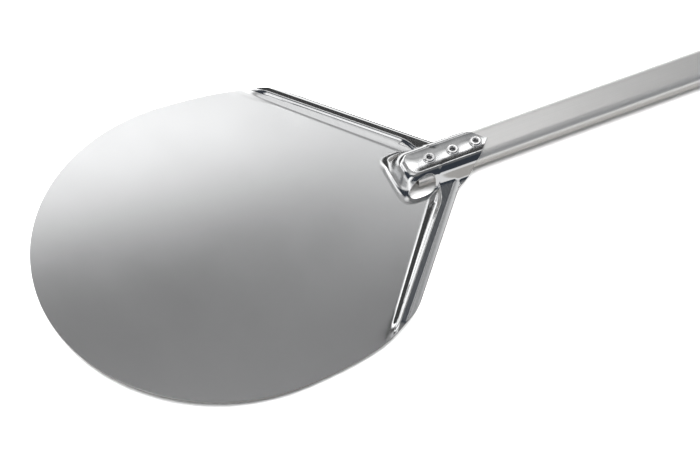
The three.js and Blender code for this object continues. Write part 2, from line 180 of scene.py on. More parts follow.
def add_camera():
    level = cosine(CAMERA_ELEVATION)
    back = Vector((
        sine(CAMERA_AZIMUTH) * level, -cosine(CAMERA_AZIMUTH) * level, sine(CAMERA_ELEVATION),
    ))
    data = bpy.data.cameras.new("camera")
    data.lens = CAMERA_LENS
    data.sensor_width = CAMERA_SENSOR
    data.clip_end = 50.0
    camera = bpy.data.objects.new("camera", data)
    bpy.context.collection.objects.link(camera)
    camera.location = CAMERA_AIM + back * CAMERA_DISTANCE
    camera.rotation_euler = (-back).to_track_quat("-Z", "Y").to_euler()
    bpy.context.scene.camera = camera


# ---------- material helpers ----------

class Nodes:
    """A short way to make shader nodes and join them."""

    def __init__(self, tree):
        self.tree = tree

    def add(self, kind, settings=None, **inputs):
        node = self.tree.nodes.new(kind)
        for key, value in (settings or {}).items():
            setattr(node, key, value)
        for key, value in inputs.items():
            self.feed(node, key.replace("_", " "), value)
        return node

    def feed(self, node, name, value):
        socket = node.inputs[int(name)] if name.isdigit() else node.inputs[name]
        if isinstance(value, bpy.types.NodeSocket):
            self.tree.links.new(value, socket)
        else:
            socket.default_value = value

    def math(self, operation, first, second=0.0, clamp=False):
        node = self.add("ShaderNodeMath", {"operation": operation, "use_clamp": clamp})
        self.feed(node, "0", first)
        self.feed(node, "1", second)
        return node.outputs[0]

    def dot(self, first, second):
        node = self.add("ShaderNodeVectorMath", {"operation": "DOT_PRODUCT"})
        self.feed(node, "0", first)
        self.feed(node, "1", second)
        return node.outputs["Value"]

    def ramp(self, value, stops):
        node = self.add("ShaderNodeValToRGB", Fac=value)
        elements = node.color_ramp.elements
        while len(elements) < len(stops):
            elements.new(1.0)
        for element, (place, color) in zip(elements, stops):
            element.position = place
            element.color = (*color, 1.0) if isinstance(color, tuple) else (color,) * 3 + (1.0,)
        return node.outputs["Color"]

    def range(self, value, low, high, to_low, to_high):
        node = self.add("ShaderNodeMapRange", Value=value)
        for index, number in enumerate((low, high, to_low, to_high), start=1):
            node.inputs[index].default_value = number
        return node.outputs[0]

    def mix(self, share, first, second):
        node = self.add("ShaderNodeMix", {"data_type": "RGBA"})
        self.feed(node, "0", share)
        self.feed(node, "6", first)
        self.feed(node, "7", second)
        return node.outputs[2]

    def scaled(self, coordinates, scale):
        node = self.add("ShaderNodeMapping", Vector=coordinates)
        node.inputs["Scale"].default_value = scale
        return node.outputs[0]

    def noise(self, coordinates, scale, detail=2.0, roughness=0.5):
        """Noise of one scale, or of a scale for each axis."""
        if isinstance(scale, tuple):
            coordinates, scale = self.scaled(coordinates, scale), 1.0
        node = self.add("ShaderNodeTexNoise", Vector=coordinates, Scale=scale, Detail=detail)
        node.inputs["Roughness"].default_value = roughness
        return node.outputs[0]

    def blend(self, first, second, share):
        """A share of the first value and the rest from the second."""
        return self.math(
            "ADD", self.math("MULTIPLY", first, share), self.math("MULTIPLY", second, 1 - share)
        )


def new_material(name):
    material = bpy.data.materials.new(name)
    material.use_nodes = True
    nodes = Nodes(material.node_tree)
    surface = material.node_tree.nodes["Principled BSDF"]
    place = nodes.add("ShaderNodeTexCoord").outputs["Object"]
    return material, nodes, surface, place


def finish(nodes, surface, color, metallic, rough, relief, distance, strength):
    """Joins up a surface: its colour, metal, roughness and fine relief."""
    nodes.feed(surface, "Base Color", color)
    nodes.feed(surface, "Metallic", metallic)
    nodes.feed(surface, "Roughness", rough)
    bump = nodes.add("ShaderNodeBump", Height=relief, Distance=distance, Strength=strength)
    nodes.feed(surface, "Normal", bump.outputs[0])


# ---------- materials ----------

def brushed_steel():
    """Stainless sheet, ground across the handle, and burnished where the press drew it."""
    material, nodes, surface, place = new_material("brushed_steel")
    drawn = nodes.add("ShaderNodeAttribute", {"attribute_name": "drawn"}).outputs["Fac"]
    fine = nodes.noise(place, (6500.0, 160.0, 200.0), 3.0, 0.6)
    broad = nodes.noise(place, (1900.0, 60.0, 60.0))
    cloud = nodes.noise(place, (34.0, 20.0, 20.0))
    streak = nodes.blend(fine, broad, 0.6)
    tone = nodes.ramp(streak, [(0.30, (0.665, 0.67, 0.675)), (0.70, (0.735, 0.74, 0.745))])
    tone = nodes.mix(nodes.math("MULTIPLY", drawn, 0.75), tone, (0.82, 0.825, 0.83, 1.0))
    ground = nodes.range(streak, 0.3, 0.7, 0.19, 0.22)
    ground = nodes.math("ADD", ground, nodes.range(cloud, 0.3, 0.7, -0.01, 0.01))
    rough = nodes.add("ShaderNodeMix", {"data_type": "FLOAT"})
    nodes.feed(rough, "0", drawn)
    nodes.feed(rough, "2", ground)
    nodes.feed(rough, "3", nodes.range(broad, 0.3, 0.7, 0.09, 0.14))
    surface.inputs["Anisotropic"].default_value = 0.9
    across = nodes.add("ShaderNodeVectorTransform", {
        "vector_type": "VECTOR", "convert_from": "OBJECT", "convert_to": "WORLD",
    })
    across.inputs[0].default_value = (1.0, 0.0, 0.0)
    nodes.feed(surface, "Tangent", across.outputs[0])
    relief = nodes.math("MULTIPLY", streak, nodes.range(drawn, 0.0, 1.0, 1.0, 0.35))
    finish(nodes, surface, tone, 1.0, rough.outputs[0], relief, 0.00002, 0.25)
    return material


def satin_tube():
    """Drawn stainless tube with a fine satin finish and faint lengthwise drawing marks."""
    material, nodes, surface, place = new_material("satin_tube")
    marks = nodes.noise(place, (16.0, 2600.0, 2600.0), 2.0, 0.55)
    grain = nodes.noise(place, 5200.0, 2.0, 0.6)
    cloud = nodes.noise(place, (12.0, 60.0, 60.0))
    mixed = nodes.blend(marks, grain, 0.5)
    tone = nodes.ramp(mixed, [(0.30, (0.78, 0.775, 0.765)), (0.70, (0.88, 0.875, 0.865))])
    rough = nodes.math(
        "ADD", nodes.range(mixed, 0.3, 0.7, 0.31, 0.38), nodes.range(cloud, 0.3, 0.7, -0.02, 0.02)
    )
    finish(nodes, surface, tone, 0.95, rough, mixed, 0.00003, 0.3)
    return material


def rivet_steel():
    """Bright rolled stainless with light turning marks and small nicks."""
    material, nodes, surface, place = new_material("rivet_steel")
    grain = nodes.noise(place, 2400.0, 3.0, 0.6)
    nick = nodes.noise(place, 620.0)
    tone = nodes.ramp(grain, [(0.3, (0.80, 0.80, 0.80)), (0.7, (0.88, 0.88, 0.885))])
    rough = nodes.range(nick, 0.35, 0.65, 0.13, 0.24)
    finish(nodes, surface, tone, 1.0, rough, nick, 0.00005, 0.25)
    return material


def mandrel_steel():
    """Dull grey broken mandrel."""
    material, nodes, surface, place = new_material("mandrel_steel")
    grain = nodes.noise(place, 3400.0, 3.0, 0.65)
    tone = nodes.ramp(grain, [(0.3, (0.22, 0.22, 0.225)), (0.7, (0.52, 0.52, 0.53))])
    rough = nodes.range(grain, 0.3, 0.7, 0.42, 0.62)
    finish(nodes, surface, tone, 1.0, rough, grain, 0.00015, 0.6)
    return material


def black_polymer():
    """Glass-filled black polymer, spark-eroded grain, rubbed a little on its proud edges."""
    material, nodes, surface, place = new_material("black_polymer")
    grain = nodes.noise(place, 1500.0, 3.0, 0.6)
    leather = nodes.add("ShaderNodeTexVoronoi", {"feature": "F1"}, Vector=place, Scale=1100.0)
    handled = nodes.noise(place, (30.0, 60.0, 60.0), 3.0, 0.55)
    edge = nodes.add("ShaderNodeAttribute", {"attribute_name": "rubbed"}).outputs["Fac"]
    tone = nodes.ramp(grain, [(0.3, (0.012, 0.012, 0.0135)), (0.7, (0.026, 0.026, 0.028))])
    share = nodes.math("MULTIPLY", edge, nodes.range(handled, 0.35, 0.65, 0.25, 0.9))
    tone = nodes.mix(share, tone, (0.055, 0.055, 0.057, 1.0))
    rough = nodes.range(handled, 0.3, 0.7, 0.46, 0.60)
    rough = nodes.math("SUBTRACT", rough, nodes.math("MULTIPLY", edge, 0.10))
    relief = nodes.blend(grain, leather.outputs["Distance"], 0.5)
    finish(nodes, surface, tone, 0.0, rough, relief, 0.00012, 0.55)
    return material


# ---------- mesh helpers ----------

def weighted_normals(vertices, faces):
    """Vertex normals weighted by face area, so that broad faces shade flat beside a bend."""
    normals = np.zeros_like(vertices)
    for size in {len(face) for face in faces}:
        corners = np.array([face for face in faces if len(face) == size])
        points = vertices[corners]
        area = np.zeros((len(corners), 3))
        for i in range(1, size - 1):
            area += np.cross(points[:, i] - points[:, 0], points[:, i + 1] - points[:, 0])
        for i in range(size):
            np.add.at(normals, corners[:, i], area)
    lengths = np.linalg.norm(normals, axis=1, keepdims=True)
    return normals / np.maximum(lengths, 1e-12)


def plain_object(name, vertices, faces, scale=MM):
    """A mesh object from points, in millimetres unless the scale says otherwise."""
    mesh = bpy.data.meshes.new(name)
    mesh.from_pydata((np.asarray(vertices) * scale).tolist(), [], faces)
    piece = bpy.data.objects.new(name, mesh)
    bpy.context.collection.objects.link(piece)
    return piece


def add_piece(name, vertices, faces, material, body, replaced, normals=None, point_data=None):
    """Makes a smooth mesh object, rides it on its body, and hides the part it replaces."""
    vertices = np.asarray(vertices, dtype=float)
    piece = plain_object(name, vertices, faces)
    mesh = piece.data
    mesh.shade_smooth()
    if normals is None:
        normals = weighted_normals(vertices, faces)
    mesh.normals_split_custom_set_from_vertices(normals.tolist())
    for key, values in (point_data or {}).items():
        mesh.attributes.new(key, "FLOAT", "POINT").data.foreach_set("value", values)
    mesh.materials.append(material)
    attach(piece, body)
    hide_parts(replaced)


def bridge(first, second):
    """Quads between two closed rings of vertex numbers."""
    count = len(first)
    return [
        (first[i], first[(i + 1) % count], second[(i + 1) % count], second[i])
        for i in range(count)
    ]


def ring_numbers(vertices, count):
    """Shares vertices out evenly over a number of rings, in order."""
    size = len(vertices) // count
    return [list(range(i * size, (i + 1) * size)) for i in range(count)]


def ring_faces(rings, closed=False):
    """Quads between neighbouring rings, and from the last to the first if closed."""
    faces = []
    for first, second in zip(rings, rings[1:] + (rings[:1] if closed else [])):
        faces += bridge(second, first)
    return faces


def fillet(points, radius, steps=4):
    """Rounds the inner corners of an open profile."""
    points = [np.array(point, dtype=float) for point in points]
    out = [points[0]]
    for before, corner, after in zip(points, points[1:], points[2:]):
        back, ahead = before - corner, after - corner
        reach = min(radius, 0.45 * np.linalg.norm(back), 0.45 * np.linalg.norm(ahead))
        start = corner + back / np.linalg.norm(back) * reach
        end = corner + ahead / np.linalg.norm(ahead) * reach
        out += bezier([start, corner, end], steps)
    out.append(points[-1])
    return out


def lathe(profile, x, z, segments=72, closed=False):
    """Turns an (r, z) profile about a vertical axis. A radius of 0 closes to a point."""
    vertices, rings = [], []
    for radius, height in profile:
        if radius < 1e-6:
            rings.append([len(vertices)] * segments)
            vertices.append((x, 0.0, z + height))
            continue
        rings.append(list(range(len(vertices), len(vertices) + segments)))
        for i in range(segments):
            angle = 2 * math.pi * i / segments
            vertices.append((x + radius * math.cos(angle), radius * math.sin(angle), z + height))
    faces = []
    for lower, upper in zip(rings, rings[1:] + (rings[:1] if closed else [])):
        for face in bridge(lower, upper):
            kept = list(dict.fromkeys(face))
            if len(kept) > 2:
                faces.append(tuple(kept))
    return np.array(vertices), faces


# ---------- the pressed head ----------

def linear_step(value, low, high):
    return np.clip((value - low) / (high - low), 0.0, 1.0)


def smooth_step(value, low, high):
    t = linear_step(value, low, high)
    return t * t * (3 - 2 * t)


def press_step(value, low, high):
    """A straight wall with softened ends, from 0 to 1."""
    return 0.5 * (linear_step(value, low, high) + smooth_step(value, low, high))


def lerp(first, second, share):
    return first + (second - first) * share


def soft_min(first, second, width):
    return 0.5 * (first + second - np.sqrt((first - second) ** 2 + width ** 2))


def to_edge(x, y):
    """Distance square to a straight edge from the head's centre, and distance along it."""
    across = x * math.cos(EDGE_TILT) + np.abs(y) * math.sin(EDGE_TILT)
    along = x * math.sin(EDGE_TILT) - np.abs(y) * math.cos(EDGE_TILT)
    return across, along


def from_edge(across, along):
    x = across * math.cos(EDGE_TILT) + along * math.sin(EDGE_TILT)
    y = across * math.sin(EDGE_TILT) - along * math.cos(EDGE_TILT)
    return x, y


def inside_bead(from_side, from_end):
    """Distance inside the inner step's outline, from those to its long side and neck end."""
    u, v = BEAD_END_RADIUS - from_side, BEAD_END_RADIUS - from_end
    rounded = BEAD_END_RADIUS - np.hypot(u, v)
    return np.where((u > 0) & (v > 0), rounded, np.minimum(from_side, from_end))


def rib_height(x, y):
    """Two steps up, a flat top and a flank down to the lip, fading out at both ends."""
    across, along = to_edge(x, y)
    foot = BEAD_FOOT + BEAD_FOOT_TAPER * along
    crest = RIM_CREST + RIM_CREST_TAPER * along
    within = inside_bead(across - foot, BEAD_END - along)
    bead = BEAD_HEIGHT * press_step(within, 0.0, BEAD_WALL)
    rim_start = RIM_START - RIM_SPREAD * smooth_step(along, *RIM_SPREAD_AT)
    rim_side = RIM_START + RIM_WALL
    rim_top = RIM_HEIGHT - RIM_FALL * np.minimum((across - rim_side) / (crest - rim_side), 1.0)
    top = lerp(bead, rim_top, press_step(across, rim_start, rim_start + RIM_WALL))
    outwards = np.maximum((across - crest) / (RIB_LIP - crest), 0.0)
    flank = np.maximum(soft_min(1.0, 1 - outwards ** FLANK_CURL, FLANK_SOFTNESS), 0.0)
    end = 1 - smooth_step(along, *RIM_END)
    at_start = 1 - smooth_step(along, *RIB_LEAD_WIDE)
    lead_run = lerp(*RIB_LEAD_RUN, at_start)
    lead = lerp(*RIB_LEAD, at_start) * linear_step(across, foot - lead_run, foot) ** 1.5
    lead = lead * smooth_step(along, *RIB_LEAD_START)
    return (top * smooth_step(along, *RIB_RAMP) + lead) * flank * end


def wall_height(distance, run, bend_radius, foot_radius):
    """A wall that bends down, falls straight and flares out at its foot."""
    rise = HOOD_TOP - bend_radius - foot_radius
    slope = np.arctan2(rise, run) + np.arcsin((bend_radius + foot_radius) / np.hypot(run, rise))
    bend_run = bend_radius * np.sin(slope)
    bend = HOOD_TOP - bend_radius + np.sqrt(np.maximum(bend_radius ** 2 - distance ** 2, 0))
    from_foot = run - distance
    foot = foot_radius - np.sqrt(np.maximum(foot_radius ** 2 - from_foot ** 2, 0))
    drop = bend_radius * (1 - np.cos(slope)) + (distance - bend_run) * np.tan(slope)
    height = np.where(from_foot < foot_radius * np.sin(slope), foot, HOOD_TOP - drop)
    height = np.where(distance < bend_run, bend, height)
    height = np.where(distance <= 0, HOOD_TOP, height)
    return np.where(distance >= run, 0.0, height)


def hood_height(x, y):
    """The drawn hood: a flat top, bent down on both sides and in front, open behind."""
    taper = linear_step(x, *HOOD_TAPER_X)
    run = lerp(*HOOD_SIDE_RUN, taper)
    ahead = np.maximum(0.0, (HOOD_FRONT_TOP_X - x) / HOOD_FRONT_RUN + HOOD_CORNER)
    beside = np.maximum(0.0, (np.abs(y) - HOOD_FLAT) / run + HOOD_CORNER)
    rounded, square = (
        (ahead ** power + beside ** power) ** (1 / power) - HOOD_CORNER
        for power in HOOD_CORNER_POWERS
    )
    distance = np.maximum(lerp(rounded, square, smooth_step(square, 0.0, 1.0)), 0.0) * run
    front = smooth_step(ahead ** 2 / np.maximum(ahead ** 2 + beside ** 2, 1e-9), 0.2, 0.8)
    side_wall = wall_height(distance, run, HOOD_BEND, lerp(*HOOD_FILLET, taper))
    front_run = HOOD_SIDE_RUN[0]
    front_wall = wall_height(distance / run * front_run, front_run, HOOD_FRONT_BEND,
                             HOOD_FRONT_FILLET)
    return lerp(side_wall, front_wall, front * (1 - smooth_step(x, *HOOD_FRONT_END_X)))


def hood_dents(x, y):
    """The top is dished along the rivets, pulled down a little round each, and droops behind."""
    reach = np.minimum(np.abs(y) / HOOD_LIP_Y, 1.0)
    depth = HOOD_DISH - 2 * HOOD_DISH * reach ** 2
    depth = depth * (1 - smooth_step(np.abs(y), HOOD_LIP_Y, HOOD_LIP_Y + HOOD_LIP_FADE))
    depth = depth * smooth_step(x, *HOOD_DISH_X)
    for rivet in RIVET_X:
        away = (x - rivet) ** 2 + y ** 2
        depth = depth + RIVET_DIMPLE * np.exp(-away / RIVET_DIMPLE_REACH ** 2)
    return depth + HOOD_DROOP * smooth_step(x, *HOOD_DROOP_X)


def sheet_height(x, y):
    """Height of the upper side above the flat sheet, ribs and hood together."""
    hood = hood_height(x, y)
    hood = hood - hood_dents(x, y) * smooth_step(hood, 4.0, 10.0)
    return (hood ** UNION_POWER + rib_height(x, y) ** UNION_POWER) ** (1 / UNION_POWER)


def surface_normals(height, x, y, step=0.03):
    slope_x = (height(x + step, y) - height(x - step, y)) / (2 * step)
    slope_y = (height(x, y + step) - height(x, y - step)) / (2 * step)
    normals = np.stack([-slope_x, -slope_y, np.ones_like(x)], axis=1)
    return normals / np.linalg.norm(normals, axis=1, keepdims=True)


def resample(points, spacing, closed=False):
    """Points at even distances along a polyline."""
    points = np.array(points, dtype=float)
    if closed:
        points = np.vstack([points, points[:1]])
    lengths = np.concatenate([[0], np.cumsum(np.linalg.norm(np.diff(points, axis=0), axis=1))])
    count = max(2, round(lengths[-1] / spacing))
    places = np.linspace(0, lengths[-1], count + 1)
    even = np.stack([np.interp(places, lengths, points[:, k]) for k in (0, 1)], axis=1)
    return even[:-1] if closed else even


def bezier(points, steps):
    """Points of a quadratic or cubic curve with the given control points."""
    out = []
    for i in range(steps + 1):
        level = [np.array(point, dtype=float) for point in points]
        while len(level) > 1:
            level = [lerp(a, b, i / steps) for a, b in zip(level, level[1:])]
        out.append(level[0])
    return out


def edge_half_width(x):
    return (EDGE_DISTANCE - x * math.cos(EDGE_TILT)) / math.sin(EDGE_TILT)


def half_outline():
    """The blank's outline on the +Y side, from the front of the head to the tip of the tongue."""
    arc = [
        (HEAD_RADIUS * math.cos(angle), HEAD_RADIUS * math.sin(angle))
        for angle in np.linspace(math.pi, ARC_END_ANGLE, 200)
    ]
    arc_way = np.array([math.sin(ARC_END_ANGLE), -math.cos(ARC_END_ANGLE)])
    edge_way = np.array([math.sin(EDGE_TILT), -math.cos(EDGE_TILT)])
    start = np.array(arc[-1])
    end = np.array([EDGE_START_X, edge_half_width(EDGE_START_X)])
    flare = bezier(
        [start, start + arc_way * FLARE_REACH[0], end - edge_way * FLARE_REACH[1], end], 60
    )
    root = (TONGUE_ROOT_X, edge_half_width(TONGUE_ROOT_X))
    tail = fillet([end, root, TONGUE_SHOULDER, (TONGUE_TIP_X, 0.0)], 1.6, 6)
    return [arc, flare[1:], tail[1:]]


def blade_loops():
    """Closed outlines of the sheet and of its holes, inset by the radius of the cut edge."""
    arc, flare, tail = half_outline()
    half = np.vstack([resample(arc, 1.6), resample(np.vstack([arc[-1:], flare]), 1.0)[1:],
                      resample(np.vstack([flare[-1:], tail]), 0.6)[1:]])
    mirrored = half[-2:0:-1] * (1, -1)
    outer = np.vstack([half, mirrored])
    window = [WINDOW_START, WINDOW_EDGE_END]
    for pull, end in WINDOW_CURVES:
        window += bezier([window[-1], pull, end], 14)[1:]
    window = resample(window[:-1], 0.5, closed=True)
    loops = [(outer, 1), (window, -1), (window[::-1] * (1, -1), -1)]
    for x in RIVET_X:
        angles = np.linspace(0, 2 * math.pi, 36, endpoint=False)
        ring = RIVET_SHANK_RADIUS * np.stack([np.cos(angles), np.sin(angles)], axis=1) + (x, 0)
        loops.append((ring, -1))
    return [inset(loop, side) for loop, side in loops]


def loop_area(loop):
    ahead = np.roll(loop, -1, axis=0)
    return 0.5 * float(np.sum(loop[:, 0] * ahead[:, 1] - ahead[:, 0] * loop[:, 1]))


def inset(loop, side):
    """Runs the loop with material on its left, insets it, and gives the outward way too."""
    if loop_area(loop) * side < 0:
        loop = loop[::-1]
    way = np.roll(loop, -1, axis=0) - np.roll(loop, 1, axis=0)
    way = way / np.linalg.norm(way, axis=1, keepdims=True)
    outward = np.stack([way[:, 1], -way[:, 0]], axis=1)
    return loop - outward * CUT_EDGE_RADIUS, outward


def rib_points():
    """Points in rows that follow the rib's bends, on the +Y side."""
    rows = []
    for along in np.arange(-57.0, 96.5, 0.9):
        foot = BEAD_FOOT + BEAD_FOOT_TAPER * along
        crest = RIM_CREST + RIM_CREST_TAPER * along
        stations = [foot + d for d in (-6.0, -4.5, -3.2, -2.2, -1.6, -1.1, -0.7, -0.3)]
        stations += list(foot + np.linspace(0.0, BEAD_WALL - 0.4, 11))
        stations += list(RIM_START + RIM_WALL * np.linspace(0.0, 1.0, 10))
        stations += list(np.arange(RIM_START + RIM_WALL + 0.35, crest - 1.0, 0.5))
        stations += [crest + d for d in (-0.8, -0.5, -0.3, -0.15, 0, 0.15, 0.3, 0.5, 0.8)]
        stations += [crest + 1.3, crest + 1.8, RIB_LIP - 0.15, RIB_LIP + 0.05, RIB_LIP + 0.3]
        rows += [(across, along) for across in stations]
    across, along = np.array(rows).T
    return np.stack(from_edge(across, along), axis=1)


def lattice(low, high, spacing):
    """Points of a triangular lattice in a box."""
    rows = []
    height = spacing * math.sqrt(3) / 2
    for j, y in enumerate(np.arange(low[1], high[1], height)):
        xs = np.arange(low[0] + (j % 2) * spacing / 2, high[0], spacing)
        rows.append(np.stack([xs, np.full_like(xs, y)], axis=1))
    return np.vstack(rows)


class Spread:
    """Collects points, leaving out any that comes too near to one already there."""

    def __init__(self, cell):
        self.cell = cell
        self.grid = {}
        self.points = []

    def add(self, points, apart):
        reach = int(math.ceil(apart / self.cell))
        for x, y in points:
            i, j = int(x // self.cell), int(y // self.cell)
            near = (
                point
                for a in range(i - reach, i + reach + 1)
                for b in range(j - reach, j + reach + 1)
                for point in self.grid.get((a, b), ())
            )
            if all((x - p) ** 2 + (y - q) ** 2 >= apart ** 2 for p, q in near):
                self.grid.setdefault((i, j), []).append((x, y))
                self.points.append((x, y))


def inside(points, loop):
    """Whether each point is inside a closed loop."""
    result = np.zeros(len(points), dtype=bool)
    x, y = points[:, 0], points[:, 1]
    for (ax, ay), (bx, by) in zip(loop, np.roll(loop, -1, axis=0)):
        if ay == by:
            continue
        crosses = ((ay > y) != (by > y)) & (x < (bx - ax) * (y - ay) / (by - ay) + ax)
        result ^= crosses
    return result


def on_material(points, loops):
    result = inside(points, loops[0][0])
    for loop, _ in loops[1:]:
        result &= ~inside(points, loop)
    return result


def blade_mesh():
    """Both faces of the sheet, fine where it bends, joined by rounded cut edges."""
    loops = blade_loops()
    spread = Spread(1.0)
    edges = []
    for loop, _ in loops:
        first = len(spread.points)
        spread.add(loop, 0.0)
        count = len(loop)
        edges += [(first + i, first + (i + 1) % count) for i in range(count)]
    ribs = rib_points()
    ribs = np.vstack([ribs, ribs * (1, -1)])
    walls = lattice((118.0, 6.5), (164.0, 22.0), 0.34)
    walls = np.vstack([walls, walls * (1, -1)])
    neck = lattice((105.0, -25.0), (176.0, 25.0), 0.6)
    around = lattice((20.0, -105.0), (150.0, 105.0), 2.5)
    across, along = to_edge(around[:, 0], around[:, 1])
    around = around[(across > 104.0) | ((around[:, 0] > 98.0) & (np.abs(around[:, 1]) < 30.0))]
    coarse = lattice((-116.0, -116.0), (150.0, 116.0), 8.0)
    for points, apart in ((ribs, 0.14), (walls, 0.24), (neck, 0.40), (around, 1.6), (coarse, 5.0)):
        spread.add(points[on_material(points, loops)], apart)
    flat = [Vector(point) for point in spread.points]
    out = delaunay_2d_cdt(flat, edges, [], 0, 1e-6)
    places = np.array([(v.x, v.y) for v in out[0]])
    triangles = np.array(out[2])
    kept = on_material(places[triangles].mean(axis=1), loops)
    triangles = triangles[kept]
    number = {source: i for i, sources in enumerate(out[3]) for source in sources}

    x, y = places[:, 0], places[:, 1]
    top = np.stack([x, y, SHEET + sheet_height(x, y)], axis=1)
    top_normals = surface_normals(sheet_height, x, y)
    through = surface_normals(hood_height, x, y, 0.4)
    bottom = top - through * SHEET
    vertices, normals = [top, bottom], [top_normals, -top_normals]
    count = len(top)
    a, b, c = triangles.T
    area = np.cross(places[b] - places[a], places[c] - places[a])
    triangles = np.where(area[:, None] > 0, triangles, triangles[:, ::-1])
    faces = [tuple(face) for face in triangles.tolist()]
    faces += [tuple(count + i for i in reversed(face)) for face in triangles.tolist()]

    angles = np.radians([0, 22.5, 45, 67.5, 90, 90, 112.5, 135, 157.5, 180])
    total = 2 * count
    start = 0
    for loop, outward in loops:
        ids = [number[start + i] for i in range(len(loop))]
        start += len(loop)
        depth = through[ids]
        way = np.hstack([outward, np.zeros((len(ids), 1))])
        way = way - depth * np.sum(way * depth, axis=1, keepdims=True)
        way = way / np.linalg.norm(way, axis=1, keepdims=True)
        rings = [ids]
        for k, angle in enumerate(angles[1:-1], start=1):
            centre = top[ids] - depth * (CUT_EDGE_RADIUS if k < 5 else SHEET - CUT_EDGE_RADIUS)
            normal = depth * math.cos(angle) + way * math.sin(angle)
            vertices.append(centre + normal * CUT_EDGE_RADIUS)
            normals.append(normal)
            rings.append(list(range(total, total + len(ids))))
            total += len(ids)
        rings.append([count + i for i in ids])
        for upper, lower in zip(rings, rings[1:]):
            faces += bridge(lower, upper)
    return np.vstack(vertices), faces, np.vstack(normals)


def add_blade(material):
    vertices, faces, normals = blade_mesh()
    x, y = vertices[:, 0], vertices[:, 1]
    across, along = to_edge(x, y)
    rib = smooth_step(across, BEAD_FOOT - 2.0, BEAD_FOOT + 0.5) * smooth_step(along, -46.0, -38.0)
    hood = smooth_step(hood_height(x, y), 0.02, 0.8)
    drawn = np.clip(np.maximum(rib, hood), 0, 1)
    add_piece("blade_sheet", vertices, faces, material, "peel", "blade",
              normals, {"drawn": drawn})


# ---------- handle tube ----------

def flat_oval(margin, steps=12):
    """The tube's section grown by a margin, as a ring of (y, z) points."""
    across, down = (reach + margin for reach in TUBE_CORNER)
    points = []
    for corner, (side, level) in enumerate(((1, 1), (-1, 1), (-1, -1), (1, -1))):
        for i in range(steps + 1):
            angle = (corner + i / steps) * math.pi / 2
            points.append((
                side * (TUBE_WIDTH / 2 + margin - across) + across * math.cos(angle),
                TUBE_AXIS_Z + level * (TUBE_HEIGHT / 2 + margin - down) + down * math.sin(angle),
            ))
    return points


def add_tube(material):
    """Open at both ends, with softly deburred rims."""
    rim = TUBE_RIM
    turns = np.radians([90, 67.5, 45, 22.5, 0])
    stations = [
        (TUBE_START_X + rim * (1 - math.sin(a)), rim * (1 - math.cos(a))) for a in turns
    ]
    stations += [(x, 0.0) for x in np.linspace(TUBE_START_X + rim, TUBE_END_X - rim, 40)[1:-1]]
    stations += [(TUBE_END_X - (x - TUBE_START_X), d) for x, d in reversed(stations[:len(turns)])]
    outside = [(x, -d) for x, d in stations]
    inside_rings = [(x, d - TUBE_WALL) for x, d in reversed(stations)]
    vertices = [(x, y, z) for x, margin in outside + inside_rings for y, z in flat_oval(margin)]
    faces = ring_faces(ring_numbers(vertices, len(outside + inside_rings)), closed=True)
    add_piece("handle_tube_drawn", vertices, faces, material, "peel", "handle_tube")


# ---------- blind rivets ----------

def add_rivet(name, x, seat, grip, steel, dull):
    """Hollow sleeve with a flanged head, and the broken mandrel inside it."""
    swell = -grip
    end = swell - RIVET_BULB_LENGTH
    outside = fillet([
        (RIVET_BORE_RADIUS, end),
        (RIVET_BULB_RADIUS - 0.5, end),
        (RIVET_BULB_RADIUS, end + 1.2),
        (RIVET_BULB_RADIUS - 0.3, swell),
        (RIVET_SHANK_RADIUS, swell),
        (RIVET_SHANK_RADIUS, 0.0),
        (RIVET_HEAD_RADIUS, 0.0),
        (RIVET_HEAD_RADIUS, 0.5),
        (RIVET_HEAD_RADIUS - 0.35, 1.0),
        (RIVET_HEAD_RADIUS - 0.75, RIVET_HEAD_HEIGHT),
        (RIVET_BORE_RADIUS + 0.42, RIVET_HEAD_HEIGHT),
        (RIVET_BORE_RADIUS, RIVET_HEAD_HEIGHT - 0.5),
        (RIVET_BORE_RADIUS, end),
    ], 0.28, 5)
    vertices, faces = lathe(outside[:-1], x, seat, closed=True)
    add_piece(f"{name}_sleeve", vertices, faces, steel, "peel", name)
    core = fillet([
        (0.0, end - 1.6),
        (MANDREL_HEAD_RADIUS * 0.7, end - 1.5),
        (MANDREL_HEAD_RADIUS, end - 0.9),
        (MANDREL_HEAD_RADIUS, end - 0.05),
        (MANDREL_RADIUS, end - 0.05),
        (MANDREL_RADIUS, RIVET_HEAD_HEIGHT - 1.15),
        (MANDREL_RADIUS * 0.55, RIVET_HEAD_HEIGHT - 0.8),
        (MANDREL_RADIUS * 0.3, RIVET_HEAD_HEIGHT - 0.62),
        (0.0, RIVET_HEAD_HEIGHT - 0.66),
    ], 0.2, 4)
    vertices, faces = lathe(core, x, seat)
    add_piece(f"{name}_core", vertices, faces, dull, "peel", f"{name}_mandrel")


# ---------- grips ----------

def grip_stations(flares):
    """(place, half width, half height) from (place, flare): 0 at the waist, 1 at the flare."""
    return [
        (place, *(lerp(slim, thick, flare) for slim, thick in zip(GRIP_WAIST, GRIP_FLARE)))
        for place, flare in flares
    ]


SLIDER_STATIONS = grip_stations([
    (0.0, 0.72), (0.012, 0.95), (0.035, 1.0), (0.065, 0.85), (0.12, 0.3), (0.2, 0.0), (0.5, 0.2),
    (0.8, 0.0), (0.88, 0.3), (0.935, 0.85), (0.965, 1.0), (0.988, 0.95), (1.0, 0.72),
])
END_STATIONS = grip_stations([
    (0.0, 0.72), (0.01, 0.95), (0.03, 1.0), (0.055, 0.85), (0.1, 0.3), (0.17, 0.0), (0.42, 0.2),
    (0.66, 0.0), (0.76, 0.3), (0.84, 0.9), (0.9, 1.0),
]) + [(0.95, 14.8, 9.6), (0.985, 10.5, 7.4), (1.0, 6.0, 5.0)]


